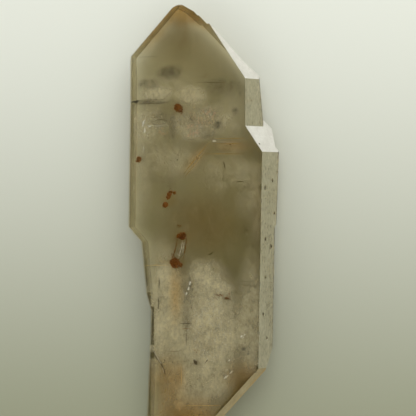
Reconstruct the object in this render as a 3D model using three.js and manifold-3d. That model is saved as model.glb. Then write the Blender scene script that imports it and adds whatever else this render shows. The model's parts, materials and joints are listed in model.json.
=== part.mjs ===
// Smoky quartz double point: flat crystals grown side by side in one direction, in one solid.
// Millimetres, +Z up. The crystal lies on its back: +Y runs along it to the iron-stained
// point, and the broad front face looks up. The origin is under the middle of its box.
//
// Every crystal here is a block with faces cut off it. A face is given by its azimuth, where 0
// looks to the right, 90 to the front (up) and 270 to the back (down), by its rise towards the
// iron-stained point, and by one point that it passes through.

import * as THREE from 'three';
import { mergeVertices } from 'three/addons/utils/BufferGeometryUtils.js';
import Module from 'manifold-3d';

const wasm = await Module();
wasm.setup();

// Driving dimensions: the levels of the flat faces, measured up from the resting face
const FRONT = 10.9;
const SHOULDER_PLATE = 1.2;
const HEAD_BACK = 1.6;
const CROWN_BACK = 2.15;
const LEFT_RIDGE = 9.9;
const LOWER_RIDGE = 8.0;

// Driving dimensions: the outline of the upper left crystal, the head, and its thinner end, the crown
const CROWN_LEFT = -20.61;
const CROWN_SLOPE = { x: -20.43, y: 47.0 };
const CROWN_RIGHT = 11.14;
const CROWN_SHOULDER = 40.44;
const CROWN_CORNER = { x: 1.0, y: 55.65 };
const CROWN_STEP = 34.56;
const CROWN_WEDGE = 39.9;
const CROWN_RIDGE_DROP = 4.9;
const HEAD_LEFT = -21.01;
const HEAD_FOOT = { x: -21.07, y: 1.4 };
const CROWN_BREAKS = [{ x: -1.9, y: 57.4, foot: 57.25 }, { x: 0.76, y: 55.0, foot: 55.0 }];
const TIP_SLOPE = { x: -2.61, y: 58.2 };
const TIP_WORN = 60.2;

// Driving dimensions: the outline of the lower right crystal, the body, which rests on its back
const BODY_RIGHT = 15.69;
const BODY_SHOULDER = 21.22;
const BODY_LEFT = -6.9;
const BODY_BACK_CORNER = { x: 1.0, y: 25.16 };
const BODY_RIDGE_DROP = 4.6;
const BODY_LEDGE = 2.6;
const EDGE_RIDGE_DROP = 5.5;
const BODY_TAPER = { x: 17.74, y: -29.1, z: 6.5 };
const BODY_FOOT = { x: 14.65, y: -35.3 };
const BODY_BACK_FOOT = -46.0;
const BODY_FOOT_CORNER = { x: -7.6, y: -48.0 };

// Driving dimensions: the lower left crystals, a sloping shoulder and the foot under it
const SHOULDER = { x: -17.57, y: -2.47 };
const SHOULDER_FOOT = { x: -16.15, y: -16.4 };
const SHOULDER_PLATE_LEFT = -12.1;
const SHOULDER_PLATE_FOOT = -31.6;
const FOOT = { x: -15.03, y: -26 };
const FOOT_SLOPE = { x: -15.81, y: -49.0 };
const HIDDEN_RIGHT = -3;
const HIDDEN_LEFT = -9.5;

// The rise of a point's face on every quartz, and of the steeper ones at the right shoulders
const POINT_RISE = 38.2;
const STEP_RISE = 30;
const BODY_STEP_RISE = 21.5;
const CORNER_RISE = 18.6;
const FOOT_RISE = 24;
const STEEP_RISE = 30;
const WALL_RISE = 41.97;
const TIP_RISE = 58;
const WEDGE_RISE = 3;
const DOWN = -POINT_RISE;

// The azimuths of the long faces, with the gentle slope at the left of the body's back, its corners
// and the bevel of a right ridge
const RIGHT_BEVEL = 2;
const RIGHT_FRONT = 30;
const TOP = 90;
const LEFT_FRONT = 150;
const LEFT_WALL = 183;
const BODY_LEFT_SIDE = 242;
const BODY_CORNER = 246;
const STEP_CORNER = 198;
const LEFT_BACK = 210;
const BACK = 270;
const TAPER = 340;
const FOOT_WALL = 342;
const RIGHT_BACK = 330;
const CROWN_WALL = 337.5;

// How far a right side face stands out for each millimetre under the front face
const SIDE_SLOPE = Math.tan(Math.PI / 6);

const BLOCK = 160;
const CUTTER = 240;
const ROUGH_LUMP = 1;

/** The outward normal of a face, from its azimuth and rise in degrees. */
function faceNormal(azimuth, rise) {
  const turn = THREE.MathUtils.degToRad(azimuth);
  const lift = THREE.MathUtils.degToRad(rise);
  const flat = Math.cos(lift);
  return new THREE.Vector3(Math.cos(turn) * flat, Math.sin(lift), Math.sin(turn) * flat);
}

/** A closed solid from a three.js geometry, with its doubled corners merged. */
function solidOf(geometry) {
  geometry.deleteAttribute('normal');
  geometry.deleteAttribute('uv');
  const merged = mergeVertices(geometry, 1e-5);
  return new wasm.Manifold(new wasm.Mesh({
    numProp: 3,
    vertProperties: new Float32Array(merged.attributes.position.array),
    triVerts: new Uint32Array(merged.index.array),
  }));
}

/** A large block with one side on the given face and all of its bulk outside it. */
function outsideOf([azimuth, rise, x, y, z]) {
  const normal = faceNormal(azimuth, rise);
  const block = new THREE.BoxGeometry(CUTTER, CUTTER, CUTTER);
  const turn = new THREE.Quaternion().setFromUnitVectors(new THREE.Vector3(0, 0, 1), normal);
  block.applyQuaternion(turn);
  const middle = new THREE.Vector3(x, y, z).addScaledVector(normal, CUTTER / 2);
  block.translate(middle.x, middle.y, middle.z);
  return solidOf(block);
}

/** What is left of a solid when everything outside the given faces is cut away. */
function cutTo(solid, faces) {
  return faces.reduce((rest, face) => rest.subtract(outsideOf(face)), solid);
}

/** One crystal, bounded by its faces. */
function crystal(faces) {
  return cutTo(solidOf(new THREE.BoxGeometry(BLOCK, BLOCK, BLOCK)), faces);
}

/** The two faces of a left edge, or of a point's left slope: a narrow bevel over a steep wall. */
function leftPair(rise, { x, y }) {
  const slope = Math.tan(THREE.MathUtils.degToRad(rise)) / Math.cos(Math.PI / 6);
  const wallRise = THREE.MathUtils.radToDeg(Math.atan(slope));
  return [[LEFT_FRONT, rise, x, y, LEFT_RIDGE], [LEFT_WALL, wallRise, x, y, LEFT_RIDGE]];
}

/** The crown: the upper end of the head, with the worn point and a steep wall at its right. */
function crown() {
  return crystal([
    [BACK, 0, 0, 0, CROWN_BACK],
    [BACK, WEDGE_RISE, 0, CROWN_WEDGE, CROWN_BACK],
    ...leftPair(0, { x: CROWN_LEFT, y: 0 }),
    ...leftPair(11.7, CROWN_SLOPE),
    ...leftPair(POINT_RISE, CROWN_SLOPE),
    [CROWN_WALL, WALL_RISE, CROWN_CORNER.x, CROWN_CORNER.y, FRONT],
    [CROWN_WALL, TIP_RISE, TIP_SLOPE.x, TIP_SLOPE.y, FRONT],
    [BACK, DOWN, 0, CROWN_STEP - 3, CROWN_BACK],
  ]);
}

/** The head: the thicker and slightly wider length below the crown, down to its left notch. */
function head() {
  return crystal([
    [BACK, STEP_RISE, 0, CROWN_STEP, HEAD_BACK],
    ...leftPair(0.8, { x: HEAD_LEFT, y: 12 }),
    ...leftPair(POINT_RISE, { x: HEAD_LEFT + 0.3, y: CROWN_STEP + 0.1 }),
    ...leftPair(DOWN, HEAD_FOOT),
    [BACK, DOWN, 0, -20, HEAD_BACK],
  ]);
}

/** The shoulder: the slope under the head's left notch. */
function shoulder() {
  return crystal([
    [BACK, POINT_RISE, 0, 10, HEAD_BACK],
    ...leftPair(-5, SHOULDER),
    ...leftPair(-14.5, SHOULDER_FOOT),
    [0, 0, HIDDEN_RIGHT, 0, 0],
    [BACK, DOWN, 0, -40, HEAD_BACK],
  ]);
}

/** The foot: the lower left length, down to the second point's left slope. */
function foot() {
  return crystal([
    [BACK, POINT_RISE, 0, 4, HEAD_BACK],
    ...leftPair(2, FOOT),
    ...leftPair(DOWN, FOOT_SLOPE),
    [BACK, -FOOT_RISE, 0, BODY_BACK_FOOT - 4.5, HEAD_BACK],
    [0, 0, HIDDEN_RIGHT, 0, 0],
  ]);
}

/** A low plate that grew on the back of the shoulder and the foot. */
function shoulderPlate() {
  return crystal([
    [BACK, 0, 0, 0, SHOULDER_PLATE],
    [TOP, 0, 0, 0, HEAD_BACK + 1],
    [LEFT_BACK, 0, SHOULDER_PLATE_LEFT, 0, HEAD_BACK],
    [STEP_CORNER, POINT_RISE, SHOULDER_PLATE_LEFT, -11.5, HEAD_BACK],
    [BACK, DOWN, 0, SHOULDER_PLATE_FOOT, HEAD_BACK],
    [0, 0, HIDDEN_RIGHT, 0, 0],
  ]);
}

/** The faces down the right side of the head and crown, up to the bright face beside the point. */
function headRightSide() {
  const ridge = CROWN_RIGHT + CROWN_RIDGE_DROP * SIDE_SLOPE;
  return [
    [RIGHT_FRONT, 0, CROWN_RIGHT, 0, FRONT],
    [RIGHT_FRONT, STEEP_RISE, CROWN_RIGHT, CROWN_SHOULDER, FRONT],
    [RIGHT_BACK, 6, ridge, CROWN_SHOULDER, FRONT - CROWN_RIDGE_DROP],
    [RIGHT_BEVEL, 3.3, ridge - 0.22, CROWN_SHOULDER, FRONT - CROWN_RIDGE_DROP],
  ];
}

/** The body: the thickest crystal, from the bright step at the right down to the second point. */
function body() {
  const ridge = BODY_RIGHT + BODY_RIDGE_DROP * SIDE_SLOPE - 0.3;
  return crystal([
    [BACK, 0, 0, 0, 0],
    [BACK, BODY_STEP_RISE, 0, BODY_BACK_CORNER.y, HEAD_BACK],
    [BODY_CORNER, CORNER_RISE, BODY_BACK_CORNER.x, BODY_BACK_CORNER.y, HEAD_BACK],
    [BODY_LEFT_SIDE, 0.65, BODY_LEFT, 9, HEAD_BACK],
    [180, 0, HIDDEN_LEFT, 0, 0],
    [RIGHT_FRONT, -0.9, BODY_RIGHT, BODY_SHOULDER, FRONT],
    [RIGHT_FRONT, STEEP_RISE, BODY_RIGHT, BODY_SHOULDER, FRONT],
    [RIGHT_BACK, -0.9, ridge, BODY_LEDGE, FRONT - BODY_RIDGE_DROP],
    [RIGHT_BEVEL, -0.9, ridge - 0.18, BODY_LEDGE, FRONT - BODY_RIDGE_DROP],
    [TAPER, -19, BODY_TAPER.x, BODY_TAPER.y, BODY_TAPER.z],
    [FOOT_WALL, -40.8, BODY_FOOT.x + 1.55, BODY_FOOT.y - 0.16, LOWER_RIDGE],
    [BACK, -FOOT_RISE, 0, BODY_BACK_FOOT, 0],
    [BODY_CORNER, -CORNER_RISE, BODY_FOOT_CORNER.x, BODY_FOOT_CORNER.y, HEAD_BACK],
  ]);
}

/** The body's thicker right edge above its ledge. */
function bodyEdge() {
  const ridge = BODY_RIGHT + EDGE_RIDGE_DROP * SIDE_SLOPE;
  return crystal([
    [BACK, 0, 0, 0, 1.1],
    [LEFT_BACK, 0, 4, 0, 1.1],
    [BACK, POINT_RISE, 0, BODY_BACK_CORNER.y - 5.06, 1.1],
    [RIGHT_FRONT, -0.9, BODY_RIGHT, BODY_SHOULDER, FRONT],
    [RIGHT_FRONT, STEEP_RISE, BODY_RIGHT, BODY_SHOULDER, FRONT],
    [RIGHT_BACK, POINT_RISE, ridge - 0.05, BODY_SHOULDER + 0.4, FRONT - EDGE_RIDGE_DROP],
    [RIGHT_BACK, -2.5, ridge - 0.1, 13, FRONT - EDGE_RIDGE_DROP],
    [RIGHT_BEVEL, -1.5, ridge - 0.32, 13, FRONT - EDGE_RIDGE_DROP],
    [RIGHT_BACK, DOWN, ridge - 0.5, BODY_LEDGE, FRONT - EDGE_RIDGE_DROP],
    [BACK, DOWN, 0, BODY_LEDGE - 6, 1.1],
  ]);
}

/** A rough little lump, longer along the crystal, that a pit or a chip is cut with. */
function lump({ x, y, z, radius, stretch = 1 }) {
  const rough = new THREE.IcosahedronGeometry(radius, ROUGH_LUMP);
  rough.rotateZ(x + y);
  rough.rotateX(y);
  rough.scale(1, stretch, 1);
  rough.translate(x, y, z);
  return solidOf(rough);
}

/** The pieces broken off the steep wall at the right of the worn point, each down to a level foot. */
function crownBreaks() {
  return CROWN_BREAKS.map(({ x, y, foot }) => (
    cutTo(outsideOf([CROWN_WALL, WALL_RISE, x, y, FRONT]), [[TOP, -90, 0, foot, 0]])
  ));
}

/** The chips along the broken edge at the right of the worn point. */
function pointChips() {
  return [
    { x: -4.6, y: 60.1, z: 10.9, radius: 0.5 },
    { x: -2.3, y: 58.4, z: 10.7, radius: 0.45 },
    { x: -0.2, y: 56.4, z: 10.9, radius: 0.4 },
  ].map(lump);
}

/** The pits in the body's right side, each given along the crystal and down from the front edge. */
function sidePits() {
  const pits = [
    [13.8, 3.5, 0.34], [11.9, 1.2, 0.42], [5.2, 4.3, 0.3], [-1.6, 1.5, 0.36],
    [-3.5, 3.4, 0.4], [-11.5, 1.8, 0.3], [-21.1, 1.2, 0.32], [-27.4, 2.6, 0.24],
  ];
  return pits.map(([y, drop, radius]) => {
    const x = BODY_RIGHT - 0.0184 * (BODY_SHOULDER - y) + drop * SIDE_SLOPE;
    return lump({ x, y, z: FRONT - drop, radius, stretch: 1.6 });
  });
}

/** The small nicks along the long front edges and the steps. */
function edgeNicks() {
  return [
    { x: 15.45, y: 8.4, z: FRONT + 0.1, radius: 0.34, stretch: 2.2 },
    { x: 15.2, y: -13.2, z: FRONT + 0.1, radius: 0.3, stretch: 2.6 },
    { x: 14.85, y: -26.1, z: FRONT + 0.1, radius: 0.32, stretch: 2.4 },
    { x: 14.9, y: 23.4, z: 10.2, radius: 0.34 },
    { x: 11.2, y: 33.1, z: FRONT + 0.1, radius: 0.3, stretch: 2.4 },
    { x: -20.8, y: 24.6, z: LEFT_RIDGE, radius: 0.28, stretch: 2.2 },
    { x: -19.4, y: 12.2, z: FRONT + 0.1, radius: 0.3, stretch: 2.6 },
    { x: -15.3, y: -32.6, z: LEFT_RIDGE, radius: 0.36, stretch: 2.0 },
    { x: 14.1, y: -36.4, z: FRONT - 0.1, radius: 0.4 },
    { x: -11.5, y: 57.1, z: LEFT_RIDGE, radius: 0.3 },
  ].map(lump);
}

/** The whole solid: the crystals joined, the faces they share cut in one plane, then the damage. */
function doublePoint() {
  const upper = head().add(shoulder()).add(foot());
  const left = cutTo(cutTo(upper, [[BACK, 0, 0, 0, HEAD_BACK]]).add(crown()), headRightSide());
  const right = body().add(bodyEdge());
  const joined = cutTo(left.add(right).add(shoulderPlate()), [
    [TOP, 0, 0, 0, FRONT],
    [RIGHT_FRONT, DOWN, BODY_FOOT.x, BODY_FOOT.y, FRONT],
    ...leftPair(DOWN, FOOT_SLOPE),
    [TOP, 90, 0, TIP_WORN, 0],
    [TOP, 55, 0, TIP_WORN - 0.25, FRONT],
    [LEFT_FRONT, 62, -7.6, TIP_WORN, LEFT_RIDGE],
    [TOP, -90, 0, -58.1, 0],
  ]);
  const damage = [...crownBreaks(), ...pointChips(), ...sidePits(), ...edgeNicks()];
  return damage.reduce((rest, piece) => rest.subtract(piece), joined);
}

/** A three.js geometry from a finished solid, moved so that the middle of its box is over the origin. */
function geometryOf(solid) {
  const mesh = solid.getMesh();
  const geometry = new THREE.BufferGeometry();
  geometry.setAttribute('position', new THREE.BufferAttribute(mesh.vertProperties, 3));
  geometry.setIndex(new THREE.BufferAttribute(mesh.triVerts, 1));
  geometry.computeBoundingBox();
  const middle = geometry.boundingBox.getCenter(new THREE.Vector3());
  geometry.translate(-middle.x, -middle.y, 0);
  geometry.computeVertexNormals();
  return geometry;
}

const smokyQuartz = new THREE.MeshStandardMaterial({
  color: 0x847a54,
  roughness: 0.12,
  metalness: 0,
  transparent: true,
  opacity: 0.8,
});

const group = new THREE.Group();
const quartz = new THREE.Mesh(geometryOf(doublePoint()), smokyQuartz);
quartz.name = 'crystal';
group.add(quartz);

export default group;
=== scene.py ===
"""The looks of the smoky quartz double point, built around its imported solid.

Lengths in the dataclasses are millimetres, and MM turns them into Blender's metres. The crystal lies
on its back, with +Y along it to the iron-stained point. What grew inside it is placed by the column,
the row and the depth at which the front face shows it. Columns, rows, widths and heights of what is
placed in this way are the photo's pixels, and the scales of noise are per metre.
"""

import json
import logging
import math
import random
from dataclasses import dataclass
from enum import Enum
from typing import Iterable

import bmesh
import bpy
from mathutils import Matrix, Vector, noise
from mathutils.bvhtree import BVHTree

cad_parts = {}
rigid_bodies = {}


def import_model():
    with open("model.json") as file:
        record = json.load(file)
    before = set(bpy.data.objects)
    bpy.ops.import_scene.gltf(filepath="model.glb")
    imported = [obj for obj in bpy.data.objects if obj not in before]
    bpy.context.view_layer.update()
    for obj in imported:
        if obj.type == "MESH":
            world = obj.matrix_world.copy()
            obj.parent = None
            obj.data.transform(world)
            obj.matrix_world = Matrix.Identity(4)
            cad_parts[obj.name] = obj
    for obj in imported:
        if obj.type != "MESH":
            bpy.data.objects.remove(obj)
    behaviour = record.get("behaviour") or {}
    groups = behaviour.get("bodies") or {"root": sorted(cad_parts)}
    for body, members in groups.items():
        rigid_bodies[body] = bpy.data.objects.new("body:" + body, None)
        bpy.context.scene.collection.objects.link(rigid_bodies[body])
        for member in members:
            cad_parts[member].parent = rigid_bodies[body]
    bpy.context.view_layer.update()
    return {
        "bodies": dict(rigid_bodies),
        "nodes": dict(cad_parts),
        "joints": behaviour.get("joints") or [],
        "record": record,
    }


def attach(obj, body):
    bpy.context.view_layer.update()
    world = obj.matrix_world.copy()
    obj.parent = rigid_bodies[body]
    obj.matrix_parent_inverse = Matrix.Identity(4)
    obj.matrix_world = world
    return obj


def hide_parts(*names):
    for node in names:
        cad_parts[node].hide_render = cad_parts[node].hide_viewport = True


MM = 0.001
QUARTZ_IOR = 1.544
LOG = logging.getLogger("quartz")

Triple = tuple[float, float, float]
Colour = Triple
Span = tuple[float, float]


class Slot(Enum):
    """The material slots that the record names."""

    QUARTZ = "smoky_quartz"
    VEIL = "milky_veil"
    IRON = "iron_stain"


@dataclass(frozen=True)
class PhotoView:
    """The photo's view of the crystal: what a pixel is worth and where the camera stands."""

    pixel: float = 0.2625
    picture: int = 416
    turn: float = math.radians(15.0)
    lens: float = 150.0
    sensor: float = 36.0
    middle: tuple[float, float] = (2.281, 5.5125)
    front: float = 10.9
    near: float = 10.0

    def axes(self) -> tuple[Vector, Vector, Vector]:
        """The directions of the picture.

        Returns:
            Its right, its up, and the way from the crystal to the camera.
        """
        right = Vector((math.cos(self.turn), 0.0, -math.sin(self.turn)))
        back = Vector((math.sin(self.turn), 0.0, math.cos(self.turn)))
        return right, Vector((0.0, 1.0, 0.0)), back

    def distance(self) -> float:
        """How far the camera stands from the middle of the view, in millimetres."""
        return self.picture * self.pixel * self.lens / self.sensor

    def eye(self) -> Vector:
        """The camera's place, in millimetres."""
        return Vector((*self.middle, self.front)) + self.axes()[2] * self.distance()

    def inside(self, column: float, row: float, depth: float) -> Vector:
        """The point inside the crystal that shows at a pixel of the photo.

        Args:
            column: pixels from the picture's left edge.
            row: pixels from the picture's top edge.
            depth: millimetres under the front face.

        Returns:
            The point in metres, with the bend of light at the front face allowed for.
        """
        right, up, back = self.axes()
        half = self.picture / 2
        reach = self.picture * self.lens / self.sensor
        ray = (right * (column - half) + up * (half - row)) / reach - back
        eye = self.eye()
        entry = eye + ray * ((self.front - eye.z) / ray.z)
        ray.normalize()
        slant = Vector((ray.x, ray.y, 0.0)) / QUARTZ_IOR
        slant.z = -math.sqrt(1.0 - slant.length_squared)
        return (entry - slant * (depth / slant.z)) * MM

    def place(self) -> bpy.types.Object:
        """Makes the camera and gives it to the scene.

        Returns:
            The camera object.
        """
        data = bpy.data.cameras.new("photo_view")
        data.lens = self.lens
        data.sensor_width = self.sensor
        data.clip_start = self.near * MM
        camera = bpy.data.objects.new("photo_view", data)
        bpy.context.scene.collection.objects.link(camera)
        right, up, back = self.axes()
        turn = Matrix((right, up, back)).transposed().to_4x4()
        camera.matrix_world = Matrix.Translation(self.eye() * MM) @ turn
        bpy.context.scene.camera = camera
        return camera


class Wiring:
    """A node tree with short ways to add nodes and to join them."""

    def __init__(self, tree: bpy.types.NodeTree) -> None:
        """Keeps the tree to work on."""
        self.tree = tree

    def add(self, kind: str, inputs: dict | None = None, **settings: object) -> bpy.types.Node:
        """Adds a node.

        Args:
            kind: the node's type name, without the ShaderNode in front.
            inputs: socket names with plain values, or with the output sockets that feed them.
            settings: the node's own settings.

        Returns:
            The new node.
        """
        node = self.tree.nodes.new("ShaderNode" + kind)
        for name, value in settings.items():
            setattr(node, name, value)
        for name, value in (inputs or {}).items():
            self.feed(node.inputs[name], value)
        return node

    def feed(self, socket: bpy.types.NodeSocket, value: object) -> None:
        """Links an output to a socket, or sets the socket's own value.

        Args:
            socket: the input to feed.
            value: a plain value, or the output socket that feeds it.
        """
        if isinstance(value, bpy.types.NodeSocket):
            self.tree.links.new(value, socket)
        else:
            socket.default_value = value

    def sum(self, operation: str, *values: object, clamp: bool = False) -> bpy.types.NodeSocket:
        """A Math node's result.

        Args:
            operation: the node's operation.
            values: plain numbers or output sockets.
            clamp: whether the result stays between 0 and 1.

        Returns:
            The node's output.
        """
        node = self.add("Math", {i: value for i, value in enumerate(values)}, operation=operation)
        node.use_clamp = clamp
        return node.outputs[0]

    def blend(self, share: object, first: object, second: object, kind: str = "MIX") -> bpy.types.NodeSocket:
        """A mix of two colours.

        Args:
            share: how much of the second one shows.
            first: a colour or the output that gives it.
            second: a colour or the output that gives it.
            kind: the way they are blended.

        Returns:
            The mixed colour's output.
        """
        node = self.add("Mix", data_type="RGBA", blend_type=kind)
        self.feed(node.inputs["Factor"], share)
        self.feed(node.inputs[6], first)
        self.feed(node.inputs[7], second)
        return node.outputs[2]


def rgba(colour: Colour) -> tuple[float, float, float, float]:
    """A colour with full alpha."""
    return (*colour, 1.0)


@dataclass(frozen=True)
class Mottle:
    """The shader group that breaks up a colour: soft clouds, and specks that are finer."""

    name: str = "crystal_mottle"
    inputs: tuple[tuple[str, float], ...] = (("Scale", 120.0), ("Stretch", 1.0), ("Grain", 900.0))
    cloud: Span = (4.0, 0.62)
    speck: Span = (2.0, 0.7)
    contrast: Span = (0.3, 0.7)

    def group(self) -> bpy.types.NodeTree:
        """Builds the group once.

        Returns:
            The group, with a Scale, a Stretch and a Grain input, and Cloud and Speck masks.
        """
        if self.name in bpy.data.node_groups:
            return bpy.data.node_groups[self.name]
        tree = bpy.data.node_groups.new(self.name, "ShaderNodeTree")
        for name, value in self.inputs:
            socket = tree.interface.new_socket(name, in_out="INPUT", socket_type="NodeSocketFloat")
            socket.default_value = value
        masks = (("Cloud", "Scale", self.cloud), ("Speck", "Grain", self.speck))
        for name, _, _ in masks:
            tree.interface.new_socket(name, in_out="OUTPUT", socket_type="NodeSocketFloat")
        wiring = Wiring(tree)
        given = tree.nodes.new("NodeGroupInput")
        place = wiring.add("TexCoord")
        shape = wiring.add("CombineXYZ", {"X": 1.0, "Y": given.outputs["Stretch"], "Z": 1.0})
        drawn = wiring.add("VectorMath", {
            0: place.outputs["Object"], 1: shape.outputs[0],
        }, operation="MULTIPLY")
        result = tree.nodes.new("NodeGroupOutput")
        for name, scale, (detail, rough) in masks:
            made = wiring.add("TexNoise", {
                "Vector": drawn.outputs[0], "Scale": given.outputs[scale],
                "Detail": detail, "Roughness": rough,
            })
            spread = wiring.add("MapRange", {
                "Value": made.outputs["Fac"], "From Min": self.contrast[0], "From Max": self.contrast[1],
            })
            tree.links.new(spread.outputs["Result"], result.inputs[name])
        return tree

    def place(self, wiring: Wiring, scale: float, stretch: float, grain: float) -> bpy.types.Node:
        """Puts the group in a material.

        Args:
            wiring: the material's nodes.
            scale: how fine the clouds are, per metre.
            stretch: how much finer they are along the crystal.
            grain: how fine the grain is, per metre.

        Returns:
            The group's node.
        """
        node = wiring.tree.nodes.new("ShaderNodeGroup")
        node.node_tree = self.group()
        for name, value in (("Scale", scale), ("Stretch", stretch), ("Grain", grain)):
            node.inputs[name].default_value = value
        return node


def new_material(name: str) -> tuple[bpy.types.Material, Wiring, bpy.types.Node]:
    """Starts a material.

    Args:
        name: the material's name.

    Returns:
        The material, its wiring and its Principled BSDF.
    """
    material = bpy.data.materials.new(name)
    material.use_nodes = True
    wiring = Wiring(material.node_tree)
    return material, wiring, material.node_tree.nodes["Principled BSDF"]


@dataclass(frozen=True)
class Zone:
    """A soft oval of the photo, with its strength and its lean in degrees."""

    column: float
    row: float
    width: float
    height: float
    strength: float = 1.0
    lean: float = 0.0

    def pixel(self, reach: float, turn: float) -> tuple[float, float]:
        """A pixel in the oval.

        Args:
            reach: how far it lies from the middle, where 1 is the border.
            turn: the way to it, in radians.

        Returns:
            Its column and row.
        """
        along = Vector((math.cos(turn) * self.width, math.sin(turn) * self.height)) * reach / 2
        along.rotate(Matrix.Rotation(math.radians(self.lean), 2))
        return self.column + along.x, self.row - along.y


class ZoneMask:
    """Turns zones into a mask over a material's surface."""

    through: float = 1e3

    def __init__(self, wiring: Wiring, view: PhotoView) -> None:
        """Keeps what the masks are made with.

        Args:
            wiring: the material's nodes.
            view: the view that places the zones.
        """
        self.wiring = wiring
        self.view = view
        self.place = wiring.add("TexCoord").outputs["Object"]

    def of(self, zones: Iterable[Zone], depth: float) -> bpy.types.NodeSocket:
        """A mask that is 1 in the middle of a strong zone and 0 away from every zone.

        Args:
            zones: the patches.
            depth: how far under the front face they are centred, in millimetres.

        Returns:
            The mask's output.
        """
        total: float | bpy.types.NodeSocket = 0.0
        for zone in zones:
            total = self.wiring.sum("ADD", total, self.oval(zone, depth), clamp=True)
        return total

    def oval(self, zone: Zone, depth: float) -> bpy.types.NodeSocket:
        """One zone's share of the mask.

        Args:
            zone: the patch.
            depth: how far under the front face it is centred, in millimetres.

        Returns:
            The share's output.
        """
        middle = self.view.inside(zone.column, zone.row, depth)
        half = Vector((zone.width, zone.height)) * self.view.pixel * MM / 2
        mapping = self.wiring.add("Mapping", {
            "Vector": self.place,
            "Location": (middle.x, middle.y, 0.0),
            "Rotation": (0.0, 0.0, math.radians(zone.lean)),
            "Scale": (half.x, half.y, self.through),
        }, vector_type="TEXTURE")
        far = self.wiring.add("VectorMath", {0: mapping.outputs[0]}, operation="LENGTH")
        fall = self.wiring.add("MapRange", {
            "Value": far.outputs["Value"], "From Min": 0.0, "From Max": 1.0,
            "To Min": zone.strength, "To Max": 0.0,
        }, interpolation_type="SMOOTHERSTEP")
        return fall.outputs["Result"]


@dataclass
class Surroundings:
    """The pale floor, whose tone carries painted shade towards the lower end, and the soft light, with the
    sky's dark patch in degrees.
    """

    reach: float = 3000.0
    gap: float = 0.05
    paper_rough: float = 0.95
    paper_gloss: float = 0.1
    upper_tone: Colour = (0.75, 0.77, 0.695)
    painted_shade_tone: Colour = (0.252, 0.261, 0.166)
    painted_shade_span: Span = (-84.0, 84.0)
    sky: Colour = (1.0, 1.0, 0.97)
    sky_strength: float = 0.84
    dark: Colour = (0.02, 0.02, 0.02)
    dark_way: Triple = (-0.2588, 0.0, 0.9659)
    dark_span: Span = (20.0, 12.0)
    box_place: Triple = (280.0, 500.0, 550.0)
    box_side: float = 700.0
    box_watts: float = 3.4

    def floor(self) -> bpy.types.Object:
        """Lays the floor just under the crystal.

        Returns:
            The floor object.
        """
        mesh = bpy.data.meshes.new("floor")
        shape = bmesh.new()
        bmesh.ops.create_grid(shape, x_segments=1, y_segments=1, size=self.reach * MM / 2)
        bmesh.ops.translate(shape, vec=(0, 0, -self.gap * MM), verts=shape.verts)
        shape.to_mesh(mesh)
        shape.free()
        floor = bpy.data.objects.new("floor", mesh)
        bpy.context.scene.collection.objects.link(floor)
        floor.data.materials.append(self.paper())
        return floor

    def paper(self) -> bpy.types.Material:
        """The floor's pale paper, with painted shade: its tone deepens softly towards the lower end, standing
        in for a falloff of the light.

        Returns:
            The material.
        """
        material, wiring, surface = new_material("floor_paper")
        surface.inputs["Roughness"].default_value = self.paper_rough
        surface.inputs["Specular IOR Level"].default_value = self.paper_gloss
        place = wiring.add("TexCoord")
        split = wiring.add("SeparateXYZ", {0: place.outputs["Object"]})
        # Painted shade: the base colour darkens along Y from the upper tone to the lower one, in place of the
        # light's falloff over the floor.
        span = wiring.add("MapRange", {
            "Value": split.outputs["Y"], "From Min": self.painted_shade_span[0] * MM, "From Max": self.painted_shade_span[1] * MM,
        }, interpolation_type="SMOOTHSTEP")
        tone = wiring.blend(span.outputs["Result"], rgba(self.painted_shade_tone), rgba(self.upper_tone))
        wiring.feed(surface.inputs["Base Color"], tone)
        return material

    def light(self) -> None:
        """Sets the sky and hangs the soft box."""
        world = bpy.data.worlds.new("soft_light")
        bpy.context.scene.world = world
        world.use_nodes = True
        background = world.node_tree.nodes["Background"]
        background.inputs["Strength"].default_value = self.sky_strength
        wiring = Wiring(world.node_tree)
        wiring.feed(background.inputs["Color"], self.sky_tone(wiring))
        self.soft_box()

    def sky_tone(self, wiring: Wiring) -> bpy.types.NodeSocket:
        """The sky's colour: even, with a soft dark patch where the front face mirrors it.

        Args:
            wiring: the world's nodes.

        Returns:
            The colour's output.
        """
        way = wiring.add("TexCoord").outputs["Generated"]
        near = wiring.add("VectorMath", {0: way, 1: self.dark_way}, operation="DOT_PRODUCT")
        rim, core = (math.cos(math.radians(angle)) for angle in self.dark_span)
        share = wiring.add("MapRange", {
            "Value": near.outputs["Value"], "From Min": rim, "From Max": core,
        }, interpolation_type="SMOOTHSTEP")
        return wiring.blend(share.outputs["Result"], rgba(self.sky), rgba(self.dark))

    def soft_box(self) -> bpy.types.Object:
        """Hangs the soft box at the upper right, aimed at the crystal.

        Returns:
            The light's object.
        """
        data = bpy.data.lights.new("upper_right_box", "AREA")
        data.size = self.box_side * MM
        data.energy = self.box_watts
        box = bpy.data.objects.new("upper_right_box", data)
        bpy.context.scene.collection.objects.link(box)
        box.location = Vector(self.box_place) * MM
        box.rotation_euler = (-box.location).to_track_quat("-Z", "Y").to_euler()
        return box


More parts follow.
